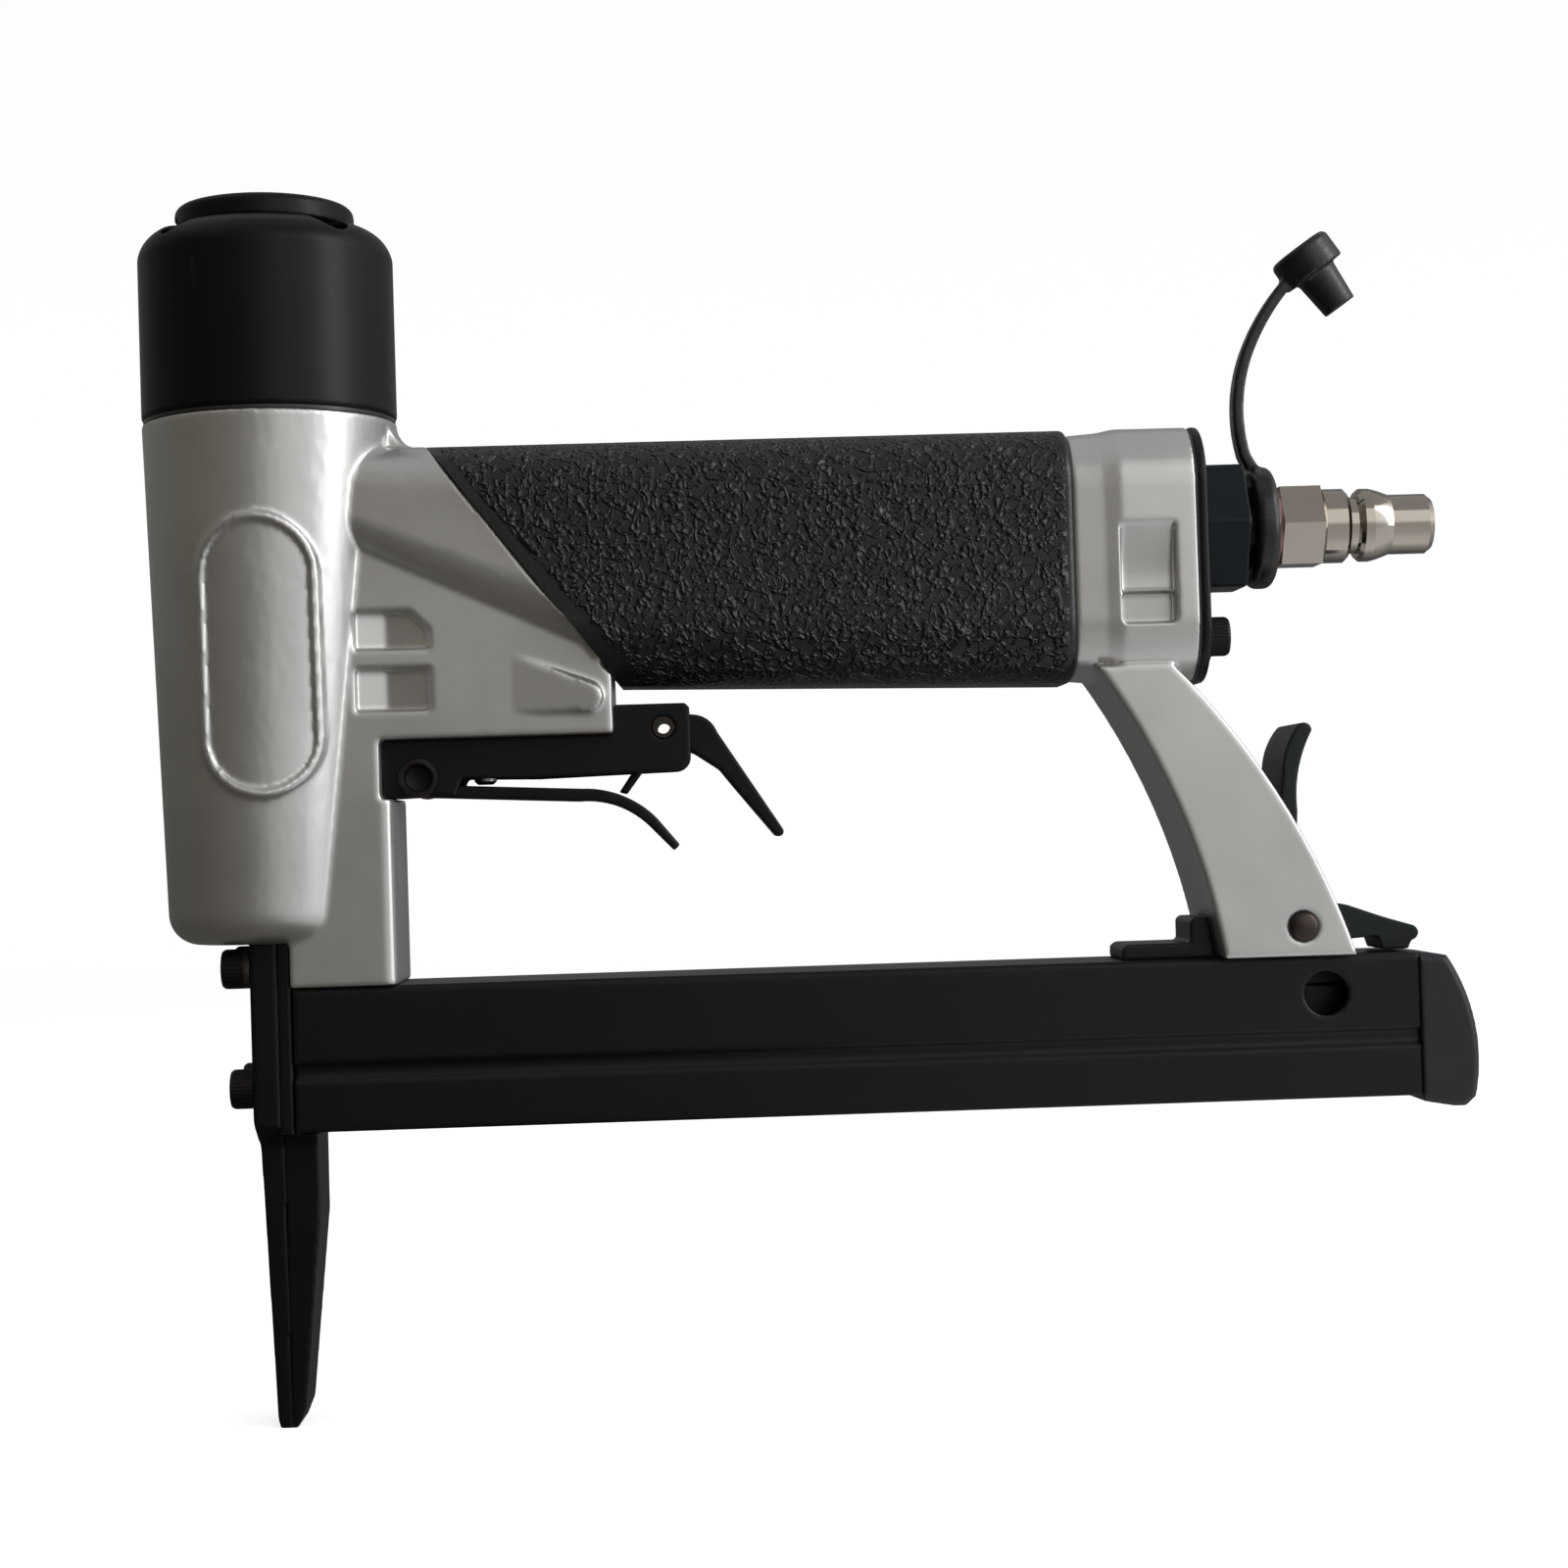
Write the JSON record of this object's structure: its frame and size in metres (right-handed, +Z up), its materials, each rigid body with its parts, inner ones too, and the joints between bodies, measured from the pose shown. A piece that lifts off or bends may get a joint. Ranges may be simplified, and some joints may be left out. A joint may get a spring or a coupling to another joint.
{
  "type": "pneumatic stapler",
  "caption": "Pneumatic upholstery stapler with a barrel head, long narrow nose, bottom-loading sliding magazine, trigger with a safety lever, rubber-covered handle and air plug.",
  "frame": {"origin": "tip of the nose, on the line of the driver blade", "axes": "+X backwards from the nose to the air plug, +Y to the tool's other side, +Z up along the barrel"},
  "size_m": [0.2337, 0.045, 0.2166],
  "materials": {
    "casting": "satin silver paint over die-cast aluminium",
    "grip_rubber": "moulded leather-like grain",
    "cap_black": "semi-gloss black",
    "magazine_black": "satin black",
    "black_steel": "black oxide",
    "screw_black": "black oxide",
    "latch_grey": "dark grey-green phosphate",
    "pin_steel": "dark bare steel",
    "bright_steel": "ground",
    "spring_steel": "drawn wire",
    "liner": "hard anodised",
    "piston_alloy": "turned",
    "brass": "turned",
    "chrome": "bright nickel chrome",
    "seal_rubber": "smooth",
    "pink_seal": "smooth",
    "bushing_black": "black with a blue-green tint",
    "end_cap_grey": "charcoal"
  },
  "bodies": {
    "root": {"body_casting": "casting", "grip_sleeve": "grip_rubber", "cylinder_cap": "cap_black", "cap_gasket": "seal_rubber", "cap_screws": "screw_black", "deflector_screw": "screw_black", "cylinder": "liner", "cylinder_o_ring": "seal_rubber", "head_valve_spring": "spring_steel", "bumper": "seal_rubber", "front_plate": "black_steel", "nose_guide": "black_steel", "nose_washers": "screw_black", "nose_screws_upper": "screw_black", "nose_screws_lower": "screw_black", "magazine_shell": "magazine_black", "magazine_clip": "magazine_black", "latch_pin": "pin_steel", "latch_spring": "spring_steel", "trigger_bracket": "black_steel", "bracket_screws": "screw_black", "trigger_pin": "screw_black", "safety_pin": "pin_steel", "safety_spring": "spring_steel", "valve_bush": "brass", "valve_seat": "brass", "valve_spring": "spring_steel", "valve_o_ring": "seal_rubber", "end_gasket": "seal_rubber", "end_plate": "black_steel", "end_plate_screws": "screw_black", "inlet_bushing": "bushing_black", "air_plug": "chrome", "plug_seal": "pink_seal"},
    "deflector": {"exhaust_deflector": "cap_black"},
    "head_valve": {"head_valve": "piston_alloy", "head_valve_o_ring": "seal_rubber"},
    "driver": {"piston": "piston_alloy", "piston_ring": "seal_rubber", "driver_blade": "bright_steel", "blade_pin": "bright_steel"},
    "magazine_slide": {"magazine_rail": "bright_steel", "magazine_end_cap": "end_cap_grey", "end_cap_pin": "pin_steel", "guide_rod": "bright_steel", "pusher_spring": "spring_steel"},
    "pusher": {"pusher": "bright_steel"},
    "latch": {"latch_lever": "latch_grey"},
    "trigger": {"trigger": "black_steel"},
    "safety": {"safety_lever": "black_steel"},
    "valve_stem": {"valve_stem": "bright_steel"},
    "dust_cap": {"dust_cap": "grip_rubber"}
  },
  "joints": [
    {"name": "deflector_turn", "type": "hinge", "parent": "root", "child": "deflector", "pos_m": [0, 0, 0.214], "axis": [0, 0, 1], "continuous": true},
    {"name": "driver_stroke", "type": "slide", "parent": "root", "child": "driver", "axis": [0, 0, -1], "range_m": [0, 0.073]},
    {"name": "head_valve_lift", "type": "slide", "parent": "root", "child": "head_valve", "axis": [0, 0, 1], "range_m": [0, 0.003], "stiffness_N_per_m": 400, "springref_m": -0.002, "deforming": ["head_valve_spring"]},
    {"name": "magazine_open", "type": "slide", "parent": "root", "child": "magazine_slide", "axis": [1, 0, 0], "range_m": [0, 0.15]},
    {"name": "pusher_travel", "type": "slide", "parent": "magazine_slide", "child": "pusher", "axis": [1, 0, 0], "range_m": [0, 0.15], "stiffness_N_per_m": 30, "springref_m": -0.06, "deforming": ["pusher_spring"]},
    {"name": "latch_release", "type": "hinge", "parent": "root", "child": "latch", "pos_m": [0.18, 0, 0.0827], "axis": [0, -1, 0], "range_deg": [0, 12], "stiffness_Nm_per_rad": 0.3, "springref_deg": -11.46},
    {"name": "trigger_pull", "type": "hinge", "parent": "root", "child": "trigger", "pos_m": [0.0254, 0, 0.1134], "axis": [0, -1, 0], "range_deg": [0, 10], "stiffness_Nm_per_rad": 0.25, "springref_deg": -8.59},
    {"name": "valve_stem_lift", "type": "slide", "parent": "root", "child": "valve_stem", "axis": [0, 0, 1], "range_m": [0, 0.0022], "deforming": ["valve_spring"]},
    {"name": "safety_squeeze", "type": "hinge", "parent": "root", "child": "safety", "pos_m": [0.0687, 0, 0.1212], "axis": [0, -1, 0], "range_deg": [0, 25], "stiffness_Nm_per_rad": 0.04, "springref_deg": -17.19},
    {"name": "dust_cap_swing", "type": "hinge", "parent": "root", "child": "dust_cap", "pos_m": [0.177, 0, 0.1543], "axis": [1, 0, 0], "range_deg": [-110, 110]}
  ],
  "couplings": [
    {"joint": "valve_stem_lift", "follows": "trigger_pull", "m_per_rad": 0.0112}
  ]
}
